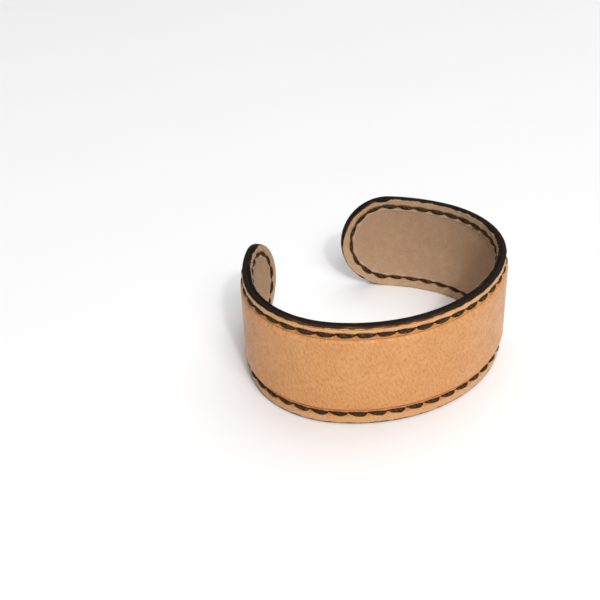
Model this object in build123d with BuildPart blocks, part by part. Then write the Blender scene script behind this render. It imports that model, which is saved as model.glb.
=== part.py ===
from build123d import *
from math import asin, cos, degrees, pi, radians, sin, tan
import os

# A sewn leather cuff bracelet: an open band that stands on its lower edge, z = 0.
# X runs across the wrist, the display front faces -Y and the gap between the tips faces +Y.
# Places on the band are given by s, the length along the outer face from the middle of the
# display front, z, the height, and lift, the distance out from the outer face of the margin.

os.makedirs("parts", exist_ok=True)

# ---- Driving dimensions, in millimetres and degrees ----
band_width = 25.4
front_radius = 35.0
side_radius = 23.0
arm_radius = 36.5
side_turn = 45.0            # turn from the middle of the front to the start of the side arc
arm_turn = 113.0            # turn to the start of the arm arc
tip_gap = 22.0              # between the two tips, across the outer face

outer_thickness = 1.2
lining_thickness = 0.8
cement_film = 0.05

blank_thickness = 1.0
blank_width = 17.0
blank_rise = 0.6            # how far the blank lifts the outer leather above its margin
shoulder = 0.8              # how far the raised panel reaches past the blank's own edge
layout_shift = 0.35         # the blank and the stitch line sit this much above mid height

stitch_count = 80
stitch_inset = 2.45         # stitch line in from the edge of the leather
slit_angle = 65.0           # the awl slits lean this much from the stitch line
slit_length = 1.95
slit_width = 0.95
thread_diameter = 0.74
thread_spread = 0.52        # each half of the thread passes this far from the middle of a slit
thread_bend = 0.45
thread_clearance = 0.05
closing_stitch = 0.75       # share of its length that the last stitch runs, up to the first leg

# ---- Levels through the thickness, as lift from the outer face of the margin ----
outer_underside = -outer_thickness
lining_top = outer_underside - cement_film
lining_underside = lining_top - lining_thickness
pocket_top = outer_underside + blank_rise
blank_top = pocket_top - cement_film
blank_underside = blank_top - blank_thickness
pocket_floor = blank_underside - cement_film
panel_face = blank_rise
panel_underside = pocket_floor - lining_thickness

# ---- Insets of the rounded outlines ----
blank_inset = (band_width - blank_width) / 2
pocket_inset = blank_inset - cement_film
panel_inset = blank_inset - shoulder

# ---- Plan of the outer face: front, side and arm arcs, each tangent to the next ----


def outward(turn, distance):
    """Plan vector of a length along the outward normal at a turn from the front."""
    return Vector(distance * sin(radians(turn)), -distance * cos(radians(turn)))


front_to_side = outward(side_turn, front_radius - side_radius)
side_to_arm = outward(arm_turn, side_radius - arm_radius)
arm_centre_x = front_to_side.X + side_to_arm.X
tip_turn = 180 - degrees(asin((tip_gap / 2 - arm_centre_x) / arm_radius))
arm_centre_back = front_radius + front_to_side.Y + side_to_arm.Y
outer_depth = arm_centre_back + outward(tip_turn, arm_radius).Y

front_centre = Vector(0, front_radius - outer_depth / 2)
side_centre = front_centre + front_to_side
arm_centre = side_centre + side_to_arm

front_length = radians(side_turn) * front_radius
side_length = radians(arm_turn - side_turn) * side_radius
arm_length = radians(tip_turn - arm_turn) * arm_radius
half_length = front_length + side_length + arm_length

end_centre = half_length - band_width / 2
end_turn = tip_turn - degrees(band_width / 2 / arm_radius)


def plane_at(s, z, lift, heading=0):
    """Plane on the band, z straight out of the leather and x at a heading above the band's run."""
    along = abs(s)
    if along < front_length:
        centre, radius = front_centre, front_radius
        turn = along / front_radius
    elif along < front_length + side_length:
        centre, radius = side_centre, side_radius
        turn = radians(side_turn) + (along - front_length) / side_radius
    else:
        centre, radius = arm_centre, arm_radius
        turn = radians(arm_turn) + (along - front_length - side_length) / arm_radius
    side = 1 if s >= 0 else -1
    x = side * (centre.X + (radius + lift) * sin(turn))
    y = centre.Y - (radius + lift) * cos(turn)
    level = cos(radians(heading))
    x_dir = (cos(turn) * level, side * sin(turn) * level, sin(radians(heading)))
    normal = (side * sin(turn), -cos(turn), 0)
    return Plane(origin=(x, y, z), x_dir=x_dir, z_dir=normal)


# ---- Solids that follow the band ----


def half_plan_line(lift):
    """The three arcs from the middle of the front to where a round end starts."""
    start = (0, front_centre.Y - front_radius - lift)
    front = JernArc(start, (1, 0), front_radius + lift, side_turn)
    side = JernArc(front @ 1, front % 1, side_radius + lift, arm_turn - side_turn)
    arm = JernArc(side @ 1, side % 1, arm_radius + lift, end_turn - arm_turn)
    return arm @ 1


def round_end_profile(lift, end_radius, shift):
    """Half disc that a round end shows on a plane across the outward normal."""
    distance = arm_radius + lift
    outline = []
    for step in range(13):
        angle = pi * step / 12
        across = distance * tan(end_radius * sin(angle) / arm_radius)
        outline.append((across, end_radius * cos(angle)))
    with BuildSketch(plane_at(end_centre, band_width / 2 + shift, lift)) as profile:
        with BuildLine():
            Spline(*outline, tangents=((1, 0), (-1, 0)))
            Line(outline[-1], outline[0])
        make_face()
    return profile.sketch


def round_end(low, high, end_radius, shift):
    """Round end of a layer on the right tip, its wall square to the leather everywhere."""
    with BuildPart() as end:
        with BuildSketch():
            with Locations(arm_centre):
                Circle(arm_radius + high)
                Circle(arm_radius + low, mode=Mode.SUBTRACT)
        extrude(amount=band_width)
        near_axis = round_end_profile(low - end_radius / 3, end_radius, shift)
        past_face = round_end_profile(high + 1, end_radius, shift)
        loft([near_axis, past_face], ruled=True, mode=Mode.INTERSECT)
    return end.part


def band_layer(low, high, inset=0, shift=0):
    """Solid between two lifts, its round-ended outline drawn in by an inset and moved up by a shift."""
    front_face = front_centre.Y - front_radius
    with BuildPart() as layer:
        with BuildSketch(Plane.XY.offset(inset + shift)):
            with BuildLine():
                high_end = half_plan_line(high)
                low_end = half_plan_line(low)
                Line(high_end, low_end)
                Line((0, front_face - high), (0, front_face - low))
            make_face()
            mirror(about=Plane.YZ)
        extrude(amount=band_width - 2 * inset)
        right_end = round_end(low, high, band_width / 2 - inset, shift)
        add(right_end)
        add(right_end.mirror(Plane.YZ))
    return layer.part


# ---- The stitch line: a closed round-ended loop of evenly spaced awl slits ----

stitch_radius = band_width / 2 - stitch_inset
stitch_straight = 2 * end_centre
stitch_loop = 2 * stitch_straight + 2 * pi * stitch_radius
stitch_pitch = stitch_loop / stitch_count


def stitch_plane(number, lift):
    """Plane at an awl slit, with x along the line of stitching and z out of the leather."""
    along = (number + 0.5) % stitch_count * stitch_pitch
    middle = band_width / 2 + layout_shift
    half_turn = pi * stitch_radius
    if along < stitch_straight:
        s, z, heading = along - end_centre, middle - stitch_radius, 0
    elif along < stitch_straight + half_turn:
        angle = (along - stitch_straight) / stitch_radius
        s, z = end_centre + stitch_radius * sin(angle), middle - stitch_radius * cos(angle)
        heading = degrees(angle)
    elif along < 2 * stitch_straight + half_turn:
        s, z, heading = end_centre - (along - stitch_straight - half_turn), middle + stitch_radius, 180
    else:
        angle = (along - 2 * stitch_straight - half_turn) / stitch_radius
        s, z = -end_centre - stitch_radius * sin(angle), middle + stitch_radius * cos(angle)
        heading = 180 + degrees(angle)
    return plane_at(s, z, lift, heading)


def awl_slits(low, high):
    """The slanted slits cut through a layer, one solid for each stitch hole."""
    with BuildPart() as slits:
        with BuildSketch(*[stitch_plane(number, high) for number in range(stitch_count)]):
            Rectangle(slit_length, slit_width, rotation=slit_angle)
        extrude(amount=low - high)
    return slits.part


def thread_route(needle):
    """Corner points of one half of the thread, over and under through every slit in turn."""
    outside = thread_diameter / 2 + stitch_pitch ** 2 / (8 * side_radius) + thread_clearance
    inside = lining_underside - thread_diameter / 2 - thread_clearance
    points = []
    for number in range(stitch_count):
        rising = (number + needle) % 2 == 0
        spread = thread_spread if rising else -thread_spread
        offset = Vector(spread * cos(radians(slit_angle)), spread * sin(radians(slit_angle)))
        lifts = (inside, outside) if rising else (outside, inside)
        for lift in lifts:
            points.append(stitch_plane(number, lift).from_local_coords(offset))
    stop = stitch_plane(stitch_count - 1 + closing_stitch, lift)
    points.append(stop.from_local_coords(offset * (1 - 2 * closing_stitch)))
    return points


# ---- The pieces ----

with BuildPart() as outer_leather:
    add(band_layer(outer_underside, 0))
    add(band_layer(outer_underside, panel_face, panel_inset, layout_shift))
    add(band_layer(outer_underside - 1, pocket_top, pocket_inset, layout_shift), mode=Mode.SUBTRACT)
    add(awl_slits(outer_underside - 1, panel_face), mode=Mode.SUBTRACT)
outer_leather.part.label = "outer_leather"

with BuildPart() as lining_leather:
    add(band_layer(lining_underside, lining_top))
    add(band_layer(panel_underside, lining_top, panel_inset, layout_shift))
    add(band_layer(pocket_floor, lining_top + 1, pocket_inset, layout_shift), mode=Mode.SUBTRACT)
    add(awl_slits(panel_underside, lining_top + 1), mode=Mode.SUBTRACT)
lining_leather.part.label = "lining_leather"

with BuildPart() as cuff_blank:
    add(band_layer(blank_underside, blank_top, blank_inset, layout_shift))
cuff_blank.part.label = "cuff_blank"


def thread_half(needle):
    """One half of the waxed thread, a round thread bent through its slits."""
    with BuildPart() as thread:
        with BuildLine():
            route = FilletPolyline(*thread_route(needle), radius=thread_bend)
        with BuildSketch(Plane(origin=route @ 0, z_dir=route % 0)):
            Circle(thread_diameter / 2)
        sweep()
    return thread.part


with BuildPart() as thread_first_needle:
    add(thread_half(0))
thread_first_needle.part.label = "thread_first_needle"

with BuildPart() as thread_second_needle:
    add(thread_half(1))
thread_second_needle.part.label = "thread_second_needle"

# ---- Files ----

for piece in (outer_leather, lining_leather, cuff_blank, thread_first_needle, thread_second_needle):
    export_step(piece.part, f"parts/{piece.part.label}.step")
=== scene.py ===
import math

import bmesh
import bpy
import numpy as np
from mathutils import Matrix, Vector


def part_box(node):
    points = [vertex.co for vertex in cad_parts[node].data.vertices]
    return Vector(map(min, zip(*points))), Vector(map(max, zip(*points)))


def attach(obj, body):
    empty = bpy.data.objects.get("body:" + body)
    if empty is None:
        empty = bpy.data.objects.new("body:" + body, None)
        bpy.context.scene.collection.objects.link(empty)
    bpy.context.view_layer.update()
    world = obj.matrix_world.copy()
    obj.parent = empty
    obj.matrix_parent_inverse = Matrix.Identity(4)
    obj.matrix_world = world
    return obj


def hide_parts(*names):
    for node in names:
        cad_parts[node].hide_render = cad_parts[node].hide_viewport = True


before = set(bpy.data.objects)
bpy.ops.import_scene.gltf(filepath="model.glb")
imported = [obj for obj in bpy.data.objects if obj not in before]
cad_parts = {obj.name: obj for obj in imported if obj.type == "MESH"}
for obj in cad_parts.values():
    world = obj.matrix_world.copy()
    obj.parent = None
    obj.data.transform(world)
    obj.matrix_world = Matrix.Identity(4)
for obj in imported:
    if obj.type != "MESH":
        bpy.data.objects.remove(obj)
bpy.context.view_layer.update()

# A stitched leather cuff. Shapes are worked out in millimetres on the band itself and written
# to Blender in metres. A place on the band is (s, z, lift): s runs along the band from the
# middle of the display front, z is the height, and lift is the distance out from the outer
# face of the margin. A place on the stitching is (u, q): u runs round the stitch line and
# q is the distance in from it.

MM = 0.001

# ---- Sizes read from the frame, in millimetres ----
outer_low, outer_high = (np.array(corner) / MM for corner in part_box("outer_leather"))
blank_low, blank_high = (np.array(corner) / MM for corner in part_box("cuff_blank"))
WIDTH = outer_high[2] - outer_low[2]
HALF = WIDTH / 2
BLANK_WIDTH = blank_high[2] - blank_low[2]
SHIFT = (blank_high[2] + blank_low[2] - WIDTH) / 2

# ---- The band's own dimensions, as the CAD has them ----
FRONT_RADIUS, SIDE_RADIUS, ARM_RADIUS = 35.0, 23.0, 36.5
SIDE_TURN, ARM_TURN = math.radians(45.0), math.radians(113.0)
TIP_GAP = 22.0
BLANK_RISE = 0.6
SHOULDER = 0.8
CEMENT_FILM = 0.05
OUTER_UNDERSIDE, POCKET_TOP = -1.2, -0.6
LINING_TOP, POCKET_FLOOR, LINING_FACE = -1.25, -1.7, -2.05
POCKET_INSET = (WIDTH - BLANK_WIDTH) / 2 - CEMENT_FILM
STITCHES = 80
STITCH_INSET = 2.45
SLIT_ANGLE = math.radians(65.0)

# ---- Shape that only this model has ----
LINING_BULGE = 0.3          # how far the blank presses the lining towards the wrist
POCKET_SLOPE = 0.25         # run of the pocket's wall, which isn't square as in the CAD
JOIN = -1.225               # lift where the two leathers are burnished together at the edge
BURNISH_DEPTH = 0.5         # how far in from the edge the leathers bend to meet there
WALL_MIDDLE = -0.9          # lift of a ring part of the way up the outer leather's cut edge
OUTER_ROUND = (0.42, 0.62)  # rounding of the outer leather's edge, across its face and down its wall
LINING_ROUND = (0.36, 0.42)
ROUND_STEPS = np.radians([0, 20, 40, 60, 76])
THREAD_LEAN = 0.10          # each stitch starts this far inside the stitch line and ends outside it

# ---- Mesh fineness ----
LINE_STEPS = 670
END_STEPS = 180
THREAD_SIDES = 14
SPAN_STEPS = 8
THREAD_STEP = 0.135
DOUBLED = 2e-6              # points nearer than this, in metres, are one point

front_centre = np.array([0.0, outer_low[1] + BLANK_RISE + FRONT_RADIUS])


def outward(turn, distance):
    """Plan vector of a length along the outward normal at a turn from the front."""
    return distance * np.array([math.sin(turn), -math.cos(turn)])


side_centre = front_centre + outward(SIDE_TURN, FRONT_RADIUS - SIDE_RADIUS)
arm_centre = side_centre + outward(ARM_TURN, SIDE_RADIUS - ARM_RADIUS)
TIP_TURN = math.pi - math.asin((TIP_GAP / 2 - arm_centre[0]) / ARM_RADIUS)
FRONT_LENGTH = SIDE_TURN * FRONT_RADIUS
SIDE_LENGTH = (ARM_TURN - SIDE_TURN) * SIDE_RADIUS
HALF_LENGTH = FRONT_LENGTH + SIDE_LENGTH + (TIP_TURN - ARM_TURN) * ARM_RADIUS
END = HALF_LENGTH - HALF

STITCH_RADIUS = HALF - STITCH_INSET
HALF_TURN = math.pi * STITCH_RADIUS
STITCH_LOOP = 4 * END + 2 * HALF_TURN
PITCH = STITCH_LOOP / STITCHES


def place(s, z, lift):
    """Points in space, in millimetres, for places on the band."""
    along = np.abs(s)
    on_front = along < FRONT_LENGTH
    on_side = along < FRONT_LENGTH + SIDE_LENGTH
    turn = np.where(on_front, along / FRONT_RADIUS,
                    np.where(on_side, SIDE_TURN + (along - FRONT_LENGTH) / SIDE_RADIUS,
                             ARM_TURN + (along - FRONT_LENGTH - SIDE_LENGTH) / ARM_RADIUS))
    radius = np.where(on_front, FRONT_RADIUS, np.where(on_side, SIDE_RADIUS, ARM_RADIUS)) + lift
    centre_x = np.where(on_front, front_centre[0], np.where(on_side, side_centre[0], arm_centre[0]))
    centre_y = np.where(on_front, front_centre[1], np.where(on_side, side_centre[1], arm_centre[1]))
    side = np.where(s >= 0, 1.0, -1.0)
    x = side * (centre_x + radius * np.sin(turn))
    y = centre_y - radius * np.cos(turn)
    return np.stack([x, y, z + 0 * s], axis=-1)


def loop_place(u, q):
    """Where a place on the stitching lies on the band, as s and z."""
    u = np.mod(u, STITCH_LOOP)
    radius = STITCH_RADIUS - q
    right = (u - 2 * END) / STITCH_RADIUS
    left = (u - 4 * END - HALF_TURN) / STITCH_RADIUS
    on_bottom = u < 2 * END
    on_right = u < 2 * END + HALF_TURN
    on_top = u < 4 * END + HALF_TURN
    s = np.where(on_bottom, u - END,
                 np.where(on_right, END + radius * np.sin(right),
                          np.where(on_top, 3 * END + HALF_TURN - u, -END - radius * np.sin(left))))
    z = np.where(on_bottom, -radius,
                 np.where(on_right, -radius * np.cos(right),
                          np.where(on_top, radius, radius * np.cos(left))))
    return s, z + HALF + SHIFT


def stitch_of(s, z):
    """The reverse: u and q on the stitching for places on the band."""
    rise = z - HALF - SHIFT
    past = np.maximum(np.abs(s) - END, 0)
    angle = np.arctan2(past, -rise)
    on_line = np.where(rise < 0, s + END, 3 * END + HALF_TURN - s)
    on_end = np.where(s > 0, 2 * END + STITCH_RADIUS * angle,
                      4 * END + HALF_TURN + STITCH_RADIUS * (math.pi - angle))
    return np.where(np.abs(s) <= END, on_line, on_end), STITCH_RADIUS - np.hypot(past, rise)


# ---- Relief of the leather faces ----

GROOVE_WIDTH = 0.5          # of the hollow that a stitch lies in
HOLE_REACH = 0.62           # how far along the stitching the deeper hollow of a hole reaches
CUT_DEPTH, CUT_LENGTH, CUT_WIDTH = 0.20, 0.40, 0.15     # of an awl slit, from its middle
LIP_PLACE, LIP_WIDTH = 0.78, 0.32       # of the low ridge on each side of a stitch
LIP_HEIGHT, HOLE_LIP_HEIGHT = 0.05, 0.10
SHOULDER_RUN = 0.92         # run of the panel's slope, from its foot to its flat top
FOOT_SHIFT = 0.02           # the foot sits this much nearer the blank than the CAD's
CREASE_DEPTH, CREASE_WIDTH = 0.08, 0.18
OUTER_STRAY, LINING_STRAY = 0.05, 0.06  # how far hand-worked lines and faces stray


def ease(start, stop, value):
    """Smooth step of a value, from 0 at start to 1 at stop."""
    t = np.clip((value - start) / (stop - start), 0, 1)
    return t * t * (3 - 2 * t)


def bell(value, width):
    """Rounded bump about zero, 1 at its middle."""
    return np.exp(-(value / width) ** 2)


def wander(value, seed):
    """A slow irregular wave between about -1 and 1, for hand-made unevenness."""
    return (np.sin(0.173 * value + 1.7 * seed) + np.sin(0.418 * value + 2.9 * seed)
            + np.sin(0.931 * value + 0.6 * seed)) / 3


def stitch_relief(u, q, lean, depth, hole_depth, hole_width):
    """How far the thread has pulled the leather in. lean is +1 outside and -1 inside."""
    share = np.mod(u / PITCH - 0.5, 1.0)
    step = (share - np.round(share)) * PITCH
    at_hole = bell(step, HOLE_REACH)
    from_thread = q - lean * THREAD_LEAN * (1 - 2 * share)
    groove = depth + (hole_depth - depth) * at_hole
    groove *= bell(from_thread, GROOVE_WIDTH + (hole_width - GROOVE_WIDTH) * at_hole)
    along_slit = step * math.cos(SLIT_ANGLE) + q * math.sin(SLIT_ANGLE)
    across_slit = -step * math.sin(SLIT_ANGLE) + q * math.cos(SLIT_ANGLE)
    slit = CUT_DEPTH * np.exp(-(along_slit / CUT_LENGTH) ** 4) * bell(across_slit, CUT_WIDTH)
    lips = bell(np.abs(from_thread) - LIP_PLACE, LIP_WIDTH) * (LIP_HEIGHT + HOLE_LIP_HEIGHT * at_hole)
    return groove + slit - lips


def by_stitching(q):
    """1 beside the stitch line and 0 well away from it."""
    return ease(2.6, 1.6, np.abs(q))


def outer_face(s, z):
    """Lift of the outer leather's grain side."""
    u, q = stitch_of(s, z)
    panel_edge = STITCH_RADIUS - BLANK_WIDTH / 2
    foot = panel_edge - SHOULDER + FOOT_SHIFT + OUTER_STRAY * wander(u, 2)
    panel = BLANK_RISE * ease(foot, foot + SHOULDER_RUN, q)
    crease = CREASE_DEPTH * bell(q - foot, CREASE_WIDTH)
    margin = OUTER_STRAY * wander(u, 1) * bell(q + 1.2, 1.0)
    pulled_in = stitch_relief(u, q, lean=1, depth=0.36, hole_depth=0.58, hole_width=0.42)
    return panel + margin - crease - by_stitching(q) * pulled_in


def lining_face(s, z):
    """Lift of the lining's wrist side."""
    u, q = stitch_of(s, z)
    panel = LINING_BULGE * ease(0.6, 7.0, q)
    margin = LINING_STRAY * wander(1.9 * u, 3) * bell(q + 1.0, 1.1)
    pulled_in = stitch_relief(u, q, lean=-1, depth=0.26, hole_depth=0.31, hole_width=0.23)
    return LINING_FACE - panel - margin + by_stitching(q) * pulled_in


# ---- Meshes ----


def ring(radius, shift):
    """Round-ended outline of a radius about the band's middle line, moved up by a shift."""
    line = np.linspace(-END, END, LINE_STEPS, endpoint=False)
    angle = np.linspace(0, math.pi, END_STEPS, endpoint=False)
    s = np.concatenate([line, END + radius * np.sin(angle), -line, -END - radius * np.sin(angle)])
    z = np.concatenate([0 * line - radius, -radius * np.cos(angle),
                        0 * line + radius, radius * np.cos(angle)])
    return s, z + HALF + shift


def shifted_ring(inset):
    """Ring at an inset, moved to the height of the blank and the stitching as it goes in."""
    return ring(HALF - inset, SHIFT * float(ease(0.0, STITCH_INSET, np.array(inset))))


def make_object(name, vertices, faces, uvs):
    """Mesh object from arrays, with UV maps given for each face corner. Joins doubled points."""
    mesh = bpy.data.meshes.new(name)
    mesh.from_pydata((vertices * MM).tolist(), [], faces.tolist())
    for label, values in uvs.items():
        layer = mesh.uv_layers.new(name=label)
        layer.data.foreach_set("uv", values.astype(np.float32).ravel())
    shape = bmesh.new()
    shape.from_mesh(mesh)
    bmesh.ops.remove_doubles(shape, verts=shape.verts, dist=DOUBLED)
    for face in shape.faces:
        face.smooth = True
    shape.to_mesh(mesh)
    shape.free()
    thing = bpy.data.objects.new(name, mesh)
    bpy.context.scene.collection.objects.link(thing)
    return thing


def leather_shell(name, rings):
    """Closed shell through rings of (s, z, lift), ordered so that the faces look outwards."""
    s = np.array([entry[0] for entry in rings])
    z = np.array([entry[1] for entry in rings])
    lift = np.array([entry[2] + 0 * entry[0] for entry in rings])
    vertices = place(s, z, lift).reshape(-1, 3)
    rows, columns = s.shape
    row, column = np.meshgrid(np.arange(rows - 1), np.arange(columns), indexing="ij")
    row, column = row.ravel(), column.ravel()
    corner_rows = np.stack([row, row, row + 1, row + 1], axis=1)
    corner_columns = np.stack([column, column + 1, column + 1, column], axis=1)
    faces = corner_rows * columns + corner_columns % columns
    u, q = stitch_of(s, z)
    u = np.concatenate([u, np.full((rows, 1), STITCH_LOOP)], axis=1)
    edge = HALF - np.hypot(np.maximum(np.abs(s) - END, 0), z - HALF)
    wrapped = corner_columns % columns
    uvs = {
        "band": np.stack([s[corner_rows, wrapped], z[corner_rows, wrapped]], axis=-1),
        "stitch": np.stack([u[corner_rows, corner_columns] / PITCH, q[corner_rows, wrapped]], axis=-1),
        "edge": np.stack([edge[corner_rows, wrapped], lift[corner_rows, wrapped]], axis=-1),
    }
    return make_object(name, vertices, faces, uvs)


def face_insets():
    """Insets of the rings on a leather face, closest together along the stitching."""
    margin = np.array([0.55, 0.8, 1.05, 1.25])
    stitching = np.arange(1.42, 3.5, 0.1)
    shoulder = np.arange(3.55, 4.75, 0.2)
    panel = np.array([5.1, 5.7, 6.4, 7.3, 8.4, 9.8, 11.3, 12.3, HALF])
    return np.concatenate([margin, stitching, shoulder, panel])


def make_outer_leather():
    """Outer leather, from the pocket over the blank, round the cut edge and across the grain side."""
    rings = []
    across, down = OUTER_ROUND
    for inset, lift in ((HALF, POCKET_TOP), (POCKET_INSET + POCKET_SLOPE, POCKET_TOP),
                        (POCKET_INSET, OUTER_UNDERSIDE), (BURNISH_DEPTH, OUTER_UNDERSIDE),
                        (0.0, JOIN), (0.0, WALL_MIDDLE)):
        rings.append((*shifted_ring(inset), lift))
    for angle in ROUND_STEPS:
        s, z = shifted_ring(across * (1 - math.cos(angle)))
        rings.append((s, z, -down * (1 - math.sin(angle))))
    for inset in face_insets():
        s, z = shifted_ring(inset)
        rings.append((s, z, outer_face(s, z)))
    return leather_shell("outer_leather_skin", rings)


def make_lining_leather():
    """Lining, from the wrist side, round the cut edge and back to the pocket under the blank."""
    rings = []
    for inset in face_insets()[::-1]:
        s, z = shifted_ring(inset)
        rings.append((s, z, lining_face(s, z)))
    across, down = LINING_ROUND
    for angle in ROUND_STEPS[::-1]:
        s, z = shifted_ring(across * (1 - math.cos(angle)))
        rings.append((s, z, LINING_FACE + down * (1 - math.sin(angle))))
    for inset, lift in ((0.0, JOIN), (BURNISH_DEPTH, LINING_TOP), (POCKET_INSET, LINING_TOP),
                        (POCKET_INSET + POCKET_SLOPE, POCKET_FLOOR), (HALF, POCKET_FLOOR)):
        rings.append((*shifted_ring(inset), lift))
    return leather_shell("lining_leather_skin", rings)


# ---- Thread ----

# The two runs that a thread half makes in turn, each from one slit to the next, by rows of
# (distance along the stitch line, distance in from it, lift, half width, half height).
OUTSIDE_RUN = (
    (0.00, 0.10, -1.15, 0.20, 0.20),
    (0.00, 0.11, -0.88, 0.20, 0.20),
    (0.22, 0.12, -0.58, 0.23, 0.22),
    (0.72, 0.11, -0.29, 0.36, 0.27),
    (1.45, 0.07, -0.06, 0.47, 0.32),
    (2.30, 0.01, 0.04, 0.53, 0.34),
    (3.05, -0.04, 0.03, 0.54, 0.34),
    (3.62, -0.06, -0.12, 0.46, 0.30),
    (4.02, -0.05, -0.45, 0.29, 0.23),
    (4.27, -0.03, -0.84, 0.20, 0.20),
    (4.29, -0.03, -1.15, 0.20, 0.20),
)
INSIDE_RUN = (
    (-0.11, -0.08, -1.15, 0.15, 0.17),
    (-0.07, -0.08, -1.44, 0.15, 0.17),
    (0.22, -0.10, -1.74, 0.15, 0.17),
    (0.60, -0.10, -1.94, 0.25, 0.21),
    (1.15, -0.07, -2.10, 0.39, 0.27),
    (2.13, 0.00, -2.18, 0.45, 0.31),
    (3.11, 0.07, -2.10, 0.39, 0.27),
    (3.66, 0.10, -1.94, 0.25, 0.21),
    (4.04, 0.10, -1.74, 0.15, 0.17),
    (4.34, 0.08, -1.44, 0.15, 0.17),
    (4.38, 0.08, -1.15, 0.15, 0.17),
)
RUN_LENGTH = 4.27           # stitch length that the runs are written for
HAND_SHIFT, HAND_PLUMP = 0.03, 0.04     # spread of the stitches' place and thickness
BACK_STITCHES = (32, 33)    # sewn over twice to lock the thread, near one tip
BACK_PLUMP = 1.3
PLIES = 3
TWIST_LENGTH = 4.6          # one full turn of the plies
PLY_DEPTH = 0.05
SIDE_STEP = 0.01            # short step that finds the direction across a thread


def smooth_rows(rows):
    """A smooth path through rows of numbers, resampled evenly along its length.

    The path is a Catmull-Rom spline in every column. Returns the rows and the length at each.
    """
    rows = np.array(rows)
    padded = np.concatenate([[2 * rows[0] - rows[1]], rows, [2 * rows[-1] - rows[-2]]])
    t = np.linspace(0, 1, SPAN_STEPS, endpoint=False)[:, None]
    spans = []
    for before, start, stop, after in zip(padded, padded[1:], padded[2:], padded[3:]):
        spans.append(0.5 * (2 * start + (stop - before) * t
                            + (2 * before - 5 * start + 4 * stop - after) * t ** 2
                            + (3 * start - before - 3 * stop + after) * t ** 3))
    path = np.concatenate(spans + [rows[-1:]])
    length = np.concatenate([[0], np.cumsum(np.linalg.norm(np.diff(path[:, :3], axis=0), axis=1))])
    even = np.linspace(0, length[-1], round(length[-1] / THREAD_STEP))
    return [np.interp(even, length, column) for column in path.T], even


def thread_rows(first, count, rng):
    """Control rows of a thread that starts at one slit and makes a number of stitches."""
    rows = []
    for number in range(first, first + count):
        outside = (number - first) % 2 == 0
        nudge = rng.normal(0, HAND_SHIFT)
        plump = 1 + rng.normal(0, HAND_PLUMP)
        if number in BACK_STITCHES:
            plump = BACK_PLUMP
        for along, across, lift, half_width, half_height in OUTSIDE_RUN if outside else INSIDE_RUN:
            u = (number + 0.5) * PITCH + along * PITCH / RUN_LENGTH
            rows.append((u, across + nudge, lift, half_width * plump, half_height * plump))
    return rows


def make_thread(name, rows):
    """Twisted thread swept along its rows."""
    (u, q, lift, half_width, half_height), length = smooth_rows(rows)
    centre = place(*loop_place(u, q), lift)
    tangent = np.gradient(centre, axis=0)
    tangent /= np.linalg.norm(tangent, axis=1, keepdims=True)
    across = place(*loop_place(u, q + SIDE_STEP), lift) - place(*loop_place(u, q - SIDE_STEP), lift)
    up = np.cross(tangent, across)
    up /= np.linalg.norm(up, axis=1, keepdims=True)
    across = np.cross(up, tangent)
    angle = np.linspace(0, 2 * math.pi, THREAD_SIDES, endpoint=False)[None, :]
    twist = 2 * math.pi * length[:, None] / TWIST_LENGTH
    lobes = 1 + PLY_DEPTH * np.cos(PLIES * (angle - twist))
    wide = (half_width[:, None] * lobes * np.cos(angle))[..., None]
    high = (half_height[:, None] * lobes * np.sin(angle))[..., None]
    vertices = centre[:, None, :] + wide * across[:, None, :] + high * up[:, None, :]
    row, side = np.meshgrid(np.arange(len(u) - 1), np.arange(THREAD_SIDES), indexing="ij")
    row, side = row.ravel(), side.ravel()
    corner_rows = np.stack([row, row, row + 1, row + 1], axis=1)
    corner_sides = np.stack([side, side + 1, side + 1, side], axis=1)
    faces = corner_rows * THREAD_SIDES + corner_sides % THREAD_SIDES
    phase = PLIES * (corner_sides / THREAD_SIDES - length[corner_rows] / TWIST_LENGTH)
    uvs = {"ply": np.stack([length[corner_rows], phase], axis=-1)}
    thread = make_object(name, vertices.reshape(-1, 3), faces, uvs)
    close_ends(thread.data)
    return thread


def close_ends(mesh):
    """Fills the open ends of a tube, so that it is a closed shape."""
    shape = bmesh.new()
    shape.from_mesh(mesh)
    bmesh.ops.holes_fill(shape, edges=[edge for edge in shape.edges if edge.is_boundary], sides=0)
    bmesh.ops.recalc_face_normals(shape, faces=shape.faces)
    shape.to_mesh(mesh)
    shape.free()


# ---- Material helpers ----


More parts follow.
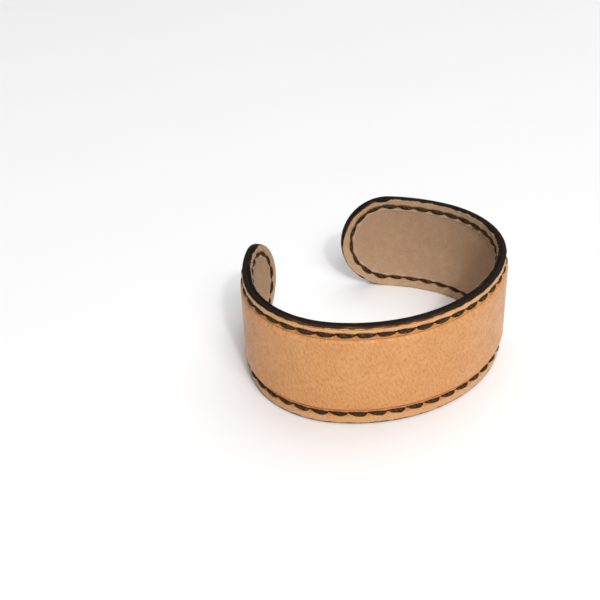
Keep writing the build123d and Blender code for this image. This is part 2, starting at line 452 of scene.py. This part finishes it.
class Shader:
    """Adds nodes to one material and links them."""

    def __init__(self, name):
        self.material = bpy.data.materials.new(name)
        self.material.use_nodes = True
        self.tree = self.material.node_tree
        self.surface = self.tree.nodes["Principled BSDF"]

    def connect(self, socket, value):
        if isinstance(value, bpy.types.NodeSocket):
            self.tree.links.new(value, socket)
        else:
            socket.default_value = value

    def uv(self, label):
        node = self.tree.nodes.new("ShaderNodeUVMap")
        node.uv_map = label
        return node.outputs["UV"]

    def parts(self, vector):
        """The X and Y of a vector."""
        node = self.tree.nodes.new("ShaderNodeSeparateXYZ")
        self.connect(node.inputs[0], vector)
        return node.outputs["X"], node.outputs["Y"]

    def millimetres(self):
        """Object coordinates in millimetres."""
        node = self.tree.nodes.new("ShaderNodeTexCoord")
        return self.scaled(node.outputs["Object"], (1 / MM, 1 / MM, 1 / MM))

    def scaled(self, vector, scale, turn=0.0):
        """A vector turned back by an angle and then multiplied by a scale."""
        node = self.tree.nodes.new("ShaderNodeMapping")
        node.vector_type = "TEXTURE"
        self.connect(node.inputs["Vector"], vector)
        node.inputs["Scale"].default_value = (1 / scale[0], 1 / scale[1], 1 / scale[2])
        node.inputs["Rotation"].default_value = (0, 0, turn)
        return node.outputs["Vector"]

    def math(self, operation, first, second=0.0):
        node = self.tree.nodes.new("ShaderNodeMath")
        node.operation = operation
        for socket, value in zip(node.inputs, (first, second)):
            self.connect(socket, value)
        return node.outputs[0]

    def times(self, first, second):
        return self.math("MULTIPLY", first, second)

    def away(self, value, centre):
        """How far a value is from a centre, on either side."""
        return self.math("ABSOLUTE", self.math("SUBTRACT", value, centre))

    def from_whole(self, value):
        """A value's signed distance from the nearest whole number."""
        return self.math("SUBTRACT", value, self.math("ROUND", value))

    def noise(self, vector, scale, detail=3.0, roughness=0.55):
        node = self.tree.nodes.new("ShaderNodeTexNoise")
        self.connect(node.inputs["Vector"], vector)
        node.inputs["Scale"].default_value = scale
        node.inputs["Detail"].default_value = detail
        node.inputs["Roughness"].default_value = roughness
        return node.outputs["Fac"]

    def cells(self, vector, scale):
        node = self.tree.nodes.new("ShaderNodeTexVoronoi")
        self.connect(node.inputs["Vector"], vector)
        node.inputs["Scale"].default_value = scale
        return node.outputs["Distance"]

    def fade(self, value, start, stop, low=0.0, high=1.0):
        """Smooth step of a value, from low at start to high at stop."""
        node = self.tree.nodes.new("ShaderNodeMapRange")
        node.interpolation_type = "SMOOTHSTEP"
        self.connect(node.inputs["Value"], value)
        node.inputs["From Min"].default_value = start
        node.inputs["From Max"].default_value = stop
        node.inputs["To Min"].default_value = low
        node.inputs["To Max"].default_value = high
        return node.outputs["Result"]

    def blend(self, share, first, second):
        """Mix of two colours."""
        node = self.tree.nodes.new("ShaderNodeMix")
        node.data_type = "RGBA"
        self.connect(node.inputs["Factor"], share)
        self.connect(node.inputs["A"], first)
        self.connect(node.inputs["B"], second)
        return node.outputs["Result"]

    def blend_value(self, share, first, second):
        """Mix of two numbers."""
        node = self.tree.nodes.new("ShaderNodeMix")
        self.connect(node.inputs["Factor"], share)
        self.connect(node.inputs["A"], first)
        self.connect(node.inputs["B"], second)
        return node.outputs["Result"]

    def bump(self, height, distance, strength=1.0, normal=None):
        """Bump whose distance is in millimetres."""
        node = self.tree.nodes.new("ShaderNodeBump")
        self.connect(node.inputs["Height"], height)
        node.inputs["Distance"].default_value = distance * MM
        node.inputs["Strength"].default_value = strength
        if normal is not None:
            self.connect(node.inputs["Normal"], normal)
        return node.outputs["Normal"]

    def finish(self, base, roughness, normal):
        self.connect(self.surface.inputs["Base Color"], base)
        self.connect(self.surface.inputs["Roughness"], roughness)
        self.connect(self.surface.inputs["Normal"], normal)
        return self.material


def colour(red, green, blue):
    """Linear colour from 8-bit display values."""
    channels = []
    for value in (red, green, blue):
        share = value / 255
        channels.append(share / 12.92 if share <= 0.04045 else ((share + 0.055) / 1.055) ** 2.4)
    return (*channels, 1.0)


EDGE_DYE = colour(15, 8, 5)
DYE_BLEED = colour(84, 48, 27)
# painted shade for the awl slits and for the groove on the stitch line between stitches
PAINTED_HOLE_SHADE = colour(28, 18, 12)


def from_hole(shader, u):
    """Distance along the stitching from the nearest hole, in millimetres, with its sign."""
    return shader.times(shader.from_whole(shader.math("SUBTRACT", u, 0.5)), PITCH)


def slit_shade_mask(shader, width, length):
    """1 on the awl slits, which taper towards their ends; shade is painted there. The sizes are half of a
    slit's own.
    """
    u, q = shader.parts(shader.uv("stitch"))
    step = from_hole(shader, u)
    along = shader.math("ADD", shader.times(step, math.cos(SLIT_ANGLE)),
                        shader.times(q, math.sin(SLIT_ANGLE)))
    across = shader.math("SUBTRACT", shader.times(q, math.cos(SLIT_ANGLE)),
                         shader.times(step, math.sin(SLIT_ANGLE)))
    taper = shader.fade(shader.math("ABSOLUTE", along), 0.25 * length, length, 1.0, 0.15)
    narrow = shader.fade(shader.math("DIVIDE", shader.math("ABSOLUTE", across), taper), width, 0.4 * width)
    short = shader.fade(shader.math("ABSOLUTE", along), length, 0.85 * length)
    return shader.times(narrow, short)


def link_shade_mask(shader, width):
    """1 in the groove on the stitch line where one stitch follows another; shade is painted there."""
    u, q = shader.parts(shader.uv("stitch"))
    step = from_hole(shader, u)
    near = shader.fade(shader.math("ABSOLUTE", step), 0.95, 0.70)
    return shader.times(near, shader.fade(shader.math("ABSOLUTE", q), width + 0.04, width - 0.04))


def pucker_mask(shader):
    """1 on the low ridges that the pull of the thread raises on both sides of each hole."""
    u, q = shader.parts(shader.uv("stitch"))
    step = from_hole(shader, u)
    near = shader.fade(shader.math("ABSOLUTE", step), 1.6, 0.5)
    beside = shader.away(shader.math("ABSOLUTE", q), 0.52)
    return shader.times(near, shader.fade(beside, 0.24, 0.0))


def edge_mask(shader, place_mm, reach, ragged, extra=None):
    """1 where dye covers the cut edge and bleeds onto the face, up to a ragged reach plus an extra."""
    inset, _ = shader.parts(shader.uv("edge"))
    wobble = shader.times(shader.math("SUBTRACT", shader.noise(place_mm, 0.55, 4.0), 0.5), ragged)
    inset = shader.math("ADD", inset, wobble)
    if extra is not None:
        inset = shader.math("SUBTRACT", inset, extra)
    return shader.fade(inset, reach + 0.05, reach - 0.05)


def near_place(shader, s, z, length, height):
    """1 at one place on the band, fading out over a length and a height."""
    along, level = shader.parts(shader.uv("band"))
    along = shader.math("DIVIDE", shader.math("SUBTRACT", along, s), length)
    level = shader.math("DIVIDE", shader.math("SUBTRACT", level, z), height)
    distance = shader.math("ADD", shader.math("POWER", shader.math("ABSOLUTE", along), 2.0),
                           shader.math("POWER", shader.math("ABSOLUTE", level), 2.0))
    return shader.fade(distance, 1.0, 0.3)


def make_tan_leather():
    """Natural grain leather: wrinkled panel, pale margin, dyed edge, painted shade in the holes and waxed
    shoulder.
    """
    shader = Shader("tan_leather")
    place_mm = shader.millimetres()
    band = shader.uv("band")
    _, q = shader.parts(shader.uv("stitch"))
    inset, _ = shader.parts(shader.uv("edge"))
    broad = shader.noise(place_mm, 0.055, 3.0)
    cloud = shader.noise(place_mm, 0.35, 4.0)
    wrinkle = shader.noise(shader.scaled(band, (2.1, 1.0, 1.0), 0.35), 1.0, 2.5, 0.6)
    grain = shader.noise(place_mm, 3.2, 2.0, 0.6)
    pores = shader.fade(shader.cells(shader.scaled(band, (0.85, 0.5, 1.0), 0.45), 1.0), 0.17, 0.05)
    pore_patch = shader.fade(shader.noise(place_mm, 0.4, 2.0), 0.50, 0.66)

    # the grain side all over
    tan = shader.blend(shader.fade(broad, 0.3, 0.7), colour(217, 154, 98), colour(225, 166, 110))
    tan = shader.blend(shader.fade(cloud, 0.35, 0.75, 0.0, 0.4), tan, colour(209, 145, 89))
    tan = shader.blend(shader.fade(wrinkle, 0.40, 0.68, 0.0, 0.54), tan, colour(192, 124, 66))
    tan = shader.blend(shader.fade(grain, 0.52, 0.70, 0.0, 0.22), tan, colour(240, 186, 128))
    pore_share = shader.times(shader.times(pores, pore_patch), 0.55)
    tan = shader.blend(pore_share, tan, colour(150, 88, 42))

    # the margin, the shoulder and the crease at its foot
    margin = shader.fade(q, -0.5, -1.0, 0.0, 0.5)
    tan = shader.blend(margin, tan, colour(232, 180, 126))
    warm = shader.fade(shader.away(q, 0.8), 0.6, 0.2, 0.0, 0.5)
    tan = shader.blend(warm, tan, colour(208, 136, 74))
    foot = shader.fade(shader.away(q, 0.98), 0.17, 0.04)
    streaks = shader.noise(shader.scaled(band, (0.35, 2.2, 1.0)), 1.0, 3.0)
    streak = shader.fade(streaks, 0.38, 0.62, 0.25, 0.95)
    tan = shader.blend(shader.times(foot, streak), tan, colour(158, 90, 42))

    # the dyed edge, worn through on the upper rim of the front, and a scuffed line beside it
    worn_noise = shader.noise(shader.scaled(band, (0.16, 5.5, 1.0)), 1.0, 4.0, 0.7)
    worn_patch = near_place(shader, -20.0, WIDTH, 22.0, 3.0)
    worn = shader.times(shader.fade(worn_noise, 0.46, 0.6), worn_patch)
    dyed = edge_mask(shader, place_mm, 0.26, 0.4)
    bleed = edge_mask(shader, place_mm, 0.46, 0.9)
    tan = shader.blend(shader.times(bleed, 0.85), tan, DYE_BLEED)
    on_bevel = shader.fade(inset, 0.01, 0.10, 0.0, 0.85)
    kept = shader.math("SUBTRACT", 1.0, shader.times(worn, on_bevel))
    tan = shader.blend(shader.times(dyed, kept), tan, EDGE_DYE)
    line_noise = shader.noise(shader.scaled(band, (0.22, 0.4, 1.0)), 1.0, 2.0)
    line_place = shader.math("ADD", inset, shader.times(line_noise, 0.5))
    scuff = shader.fade(shader.away(line_place, 0.86), 0.11, 0.03)
    scuff = shader.times(scuff, worn_patch)
    tan = shader.blend(shader.times(scuff, 0.8), tan, colour(138, 72, 36))

    # the holes: painted shade in the slits and in the groove between stitches
    tan = shader.blend(shader.times(link_shade_mask(shader, 0.13), 0.95), tan, PAINTED_HOLE_SHADE)
    tan = shader.blend(shader.times(slit_shade_mask(shader, 0.12, 0.50), 0.95), tan, PAINTED_HOLE_SHADE)

    # gloss and relief, with wax rubbed into the shoulder and round the holes
    pucker = pucker_mask(shader)
    gloss = shader.math("ADD", cloud, shader.times(grain, 0.4))
    roughness = shader.fade(gloss, 0.4, 0.95, 0.28, 0.46)
    rubbed = shader.fade(shader.away(q, 1.25), 0.60, 0.20)
    beads = shader.fade(shader.noise(shader.scaled(band, (1.9, 0.9, 1.0)), 1.0, 1.0), 0.44, 0.54)
    waxed = shader.times(shader.math("MAXIMUM", rubbed, pucker), beads)
    height = shader.times(wrinkle, shader.fade(rubbed, 0.0, 1.0, -1.0, -0.75))
    height = shader.math("ADD", height, shader.times(pucker, 0.32))
    height = shader.times(height, shader.fade(dyed, 0.0, 1.0, 1.0, 0.12))
    normal = shader.bump(grain, 0.05, 0.8)
    normal = shader.bump(height, 0.36, 1.0, normal)
    shader.surface.inputs["Specular IOR Level"].default_value = 0.3
    shader.surface.inputs["Specular Tint"].default_value = (1.0, 0.72, 0.55, 1.0)
    roughness = shader.blend_value(rubbed, roughness, 0.26)
    roughness = shader.blend_value(waxed, roughness, 0.13)
    roughness = shader.blend_value(dyed, roughness, 0.65)
    return shader.finish(tan, roughness, normal)


def make_lining():
    """Soft lining leather, paler on its margin and stained by the edge dye near the right tip."""
    shader = Shader("lining")
    place_mm = shader.millimetres()
    band = shader.uv("band")
    _, q = shader.parts(shader.uv("stitch"))
    broad = shader.noise(place_mm, 0.09, 3.0)
    cloud = shader.noise(place_mm, 0.5, 4.0, 0.6)
    fuzz = shader.noise(place_mm, 3.4, 3.0, 0.7)
    fibre = shader.noise(shader.scaled(band, (0.9, 2.4, 1.0), 0.4), 1.0, 4.0, 0.65)

    # the soft face, its margin and a painted highlight on the lips beside the stitches
    base = shader.blend(shader.fade(broad, 0.3, 0.7), colour(180, 146, 116), colour(192, 158, 127))
    base = shader.blend(shader.fade(cloud, 0.3, 0.75, 0.0, 0.5), base, colour(168, 134, 105))
    base = shader.blend(shader.fade(fuzz, 0.4, 0.7, 0.0, 0.3), base, colour(206, 174, 142))
    base = shader.blend(shader.fade(fuzz, 0.46, 0.32, 0.0, 0.3), base, colour(150, 116, 88))
    margin = shader.fade(q, 0.1, -0.6, 0.0, 0.6)
    base = shader.blend(margin, base, colour(200, 167, 130))
    worn = shader.times(margin, shader.fade(shader.noise(place_mm, 1.1, 3.0, 0.7), 0.46, 0.66))
    base = shader.blend(worn, base, colour(172, 136, 100))
    # painted highlight on the raised lips beside the stitches
    lip_highlight = shader.fade(shader.away(q, 0.68), 0.32, 0.05, 0.0, 0.5)
    base = shader.blend(lip_highlight, base, colour(220, 188, 154))

    # the stitch line, the dye that has run at the right tip, and painted shade in the holes
    beside = shader.fade(shader.math("ABSOLUTE", q), 0.5, 0.3, 0.0, 0.3)
    base = shader.blend(beside, base, colour(124, 92, 66))
    blob = shader.times(near_place(shader, 71.3, WIDTH, 2.3, 1.5), 0.55)
    wet_tip = shader.times(near_place(shader, 80.5, 20.0, 9.0, 8.5), 0.22)
    low_tip = shader.times(near_place(shader, 77.6, 2.2, 2.0, 1.6), 0.45)
    spread = shader.math("ADD", blob, shader.math("ADD", wet_tip, low_tip))
    by_tip = near_place(shader, 77.0, 21.0, 9.0, 8.0)
    halo = shader.math("ADD", spread, shader.times(by_tip, 0.24))
    bleed_colour = shader.blend(by_tip, colour(46, 30, 21), DYE_BLEED)
    base = shader.blend(edge_mask(shader, place_mm, 0.16, 0.7, halo), base, bleed_colour)
    base = shader.blend(edge_mask(shader, place_mm, 0.05, 0.5, spread), base, EDGE_DYE)
    # painted shade in the groove between stitches and in the awl slits
    base = shader.blend(shader.times(link_shade_mask(shader, 0.11), 0.95), base, colour(36, 24, 17))
    slits = shader.times(slit_shade_mask(shader, 0.12, 0.6), 0.85)
    base = shader.blend(slits, base, colour(34, 24, 18))

    roughness = shader.fade(cloud, 0.3, 0.8, 0.62, 0.82)
    normal = shader.bump(fibre, 0.16, 0.6)
    normal = shader.bump(fuzz, 0.06, 0.7, normal)
    shader.surface.inputs["Specular IOR Level"].default_value = 0.15
    return shader.finish(base, roughness, normal)


def make_thread_material():
    """Dark waxed thread with paler streaks, painted for loose fibres and for the wax's sheen, and painted
    shade in the valleys between its plies.
    """
    shader = Shader("waxed_thread")
    _, phase = shader.parts(shader.uv("ply"))
    turn = shader.times(shader.from_whole(phase), 2.0)
    valley = shader.fade(shader.math("ABSOLUTE", turn), 0.25, 1.0)
    place_mm = shader.millimetres()
    wax = shader.noise(place_mm, 1.6, 3.0)
    fibres = shader.noise(shader.scaled(shader.uv("ply"), (1.1, 3.2, 1.0)), 1.0, 3.0, 0.65)
    base = shader.blend(shader.fade(wax, 0.3, 0.7), colour(36, 24, 15), colour(54, 38, 24))
    # paler streaks: loose fibres, together with a painted sheen of the wax
    base = shader.blend(shader.fade(fibres, 0.46, 0.68, 0.0, 0.75), base, colour(122, 98, 68))
    # painted shade in the valleys between the plies
    base = shader.blend(shader.times(valley, 0.45), base, colour(16, 9, 5))
    roughness = shader.fade(wax, 0.3, 0.7, 0.5, 0.66)
    shader.surface.inputs["Specular IOR Level"].default_value = 0.1
    ply_height = shader.math("SUBTRACT", 1.0, valley)
    normal = shader.bump(shader.math("ADD", ply_height, fibres), 0.05, 0.8)
    return shader.finish(base, roughness, normal)


def make_blank_material():
    """Brushed brass."""
    shader = Shader("blank_brass")
    place_mm = shader.millimetres()
    brushed = shader.noise(shader.scaled(place_mm, (0.4, 0.4, 9.0)), 1.0, 4.0)
    base = shader.blend(brushed, colour(176, 142, 78), colour(206, 172, 104))
    roughness = shader.fade(brushed, 0.2, 0.8, 0.28, 0.46)
    shader.surface.inputs["Metallic"].default_value = 1.0
    return shader.finish(base, roughness, shader.bump(brushed, 0.02, 0.5))


def make_floor_material():
    """Pale matt floor."""
    shader = Shader("pale_floor")
    place_mm = shader.millimetres()
    mottle = shader.noise(place_mm, 0.02, 3.0)
    base = shader.blend(mottle, (0.91, 0.91, 0.92, 1.0), (0.93, 0.93, 0.94, 1.0))
    fine = shader.noise(place_mm, 1.5, 2.0)
    return shader.finish(base, shader.fade(fine, 0.3, 0.7, 0.75, 0.85), shader.bump(fine, 0.01, 0.3))


# ---- Building the pieces ----


def add_piece(piece, material, node):
    piece.data.materials.append(material)
    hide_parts(node)
    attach(piece, "root")


def build_cuff():
    rng = np.random.default_rng(7)
    add_piece(make_outer_leather(), make_tan_leather(), "outer_leather")
    add_piece(make_lining_leather(), make_lining(), "lining_leather")
    thread = make_thread_material()
    first = make_thread("first_needle_run", thread_rows(0, STITCHES, rng))
    second = make_thread("second_needle_run", thread_rows(1, STITCHES, rng))
    add_piece(first, thread, "thread_first_needle")
    add_piece(second, thread, "thread_second_needle")
    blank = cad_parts["cuff_blank"]
    blank.data.materials.clear()
    blank.data.materials.append(make_blank_material())


# ---- Stage, light and camera, in metres ----

FLOOR_SIZE = 16.0


def add_floor():
    bpy.ops.mesh.primitive_plane_add(size=FLOOR_SIZE, location=(0, 0, 0))
    floor = bpy.context.object
    floor.name = "floor"
    floor.data.materials.append(make_floor_material())


def add_area_light(name, position, size, power):
    """Round light of a width and a power that faces the middle of the cuff."""
    light = bpy.data.lights.new(name, "AREA")
    light.shape = "DISK"
    light.size = size
    light.energy = power
    lamp = bpy.data.objects.new(name, light)
    lamp.location = position
    lamp.rotation_euler = Vector(position).to_track_quat("Z", "Y").to_euler()
    bpy.context.scene.collection.objects.link(lamp)


def add_world():
    world = bpy.data.worlds.new("studio")
    world.use_nodes = True
    background = world.node_tree.nodes["Background"]
    background.inputs["Color"].default_value = (1.0, 0.99, 0.98, 1.0)
    background.inputs["Strength"].default_value = 0.06
    bpy.context.scene.world = world


# The photo's view. The distance and the target are in millimetres.
VIEW_AZIMUTH = math.radians(-34.07)
VIEW_ELEVATION = 0.5762
VIEW_ROLL = -0.0453
VIEW_DISTANCE = 266.85
VIEW_TARGET = Vector((-2.0, 27.71, 0.0))     # on the floor between the two tips
LENS, SENSOR = 62.23, 36.0
CLIP_START = 0.01


def add_camera():
    right = Vector((math.cos(VIEW_AZIMUTH), math.sin(VIEW_AZIMUTH), 0))
    away = Vector((-math.sin(VIEW_AZIMUTH), math.cos(VIEW_AZIMUTH), 0))
    back = -away * math.cos(VIEW_ELEVATION) + Vector((0, 0, math.sin(VIEW_ELEVATION)))
    up = back.cross(right)
    position = (VIEW_TARGET + back * VIEW_DISTANCE) * MM
    x_axis = right * math.cos(VIEW_ROLL) + up * math.sin(VIEW_ROLL)
    y_axis = up * math.cos(VIEW_ROLL) - right * math.sin(VIEW_ROLL)
    turn = Matrix((x_axis, y_axis, back)).transposed().to_4x4()
    data = bpy.data.cameras.new("camera")
    data.lens = LENS
    data.sensor_width = SENSOR
    data.clip_start = CLIP_START
    camera = bpy.data.objects.new("camera", data)
    camera.matrix_world = Matrix.Translation(position) @ turn
    bpy.context.scene.collection.objects.link(camera)
    bpy.context.scene.camera = camera


build_cuff()
add_floor()
# A wide soft light from above, a key from the camera's right and a small light for the glints.
add_area_light("overhead", (0.9, 0.5, 3.0), 4.0, 68.0)
add_area_light("key", (-0.38, -1.15, 1.38), 1.0, 20.4)
add_area_light("glint", (-0.45, -1.25, 1.2), 0.12, 7.6)
add_world()
add_camera()
bpy.context.scene.view_settings.view_transform = "Standard"
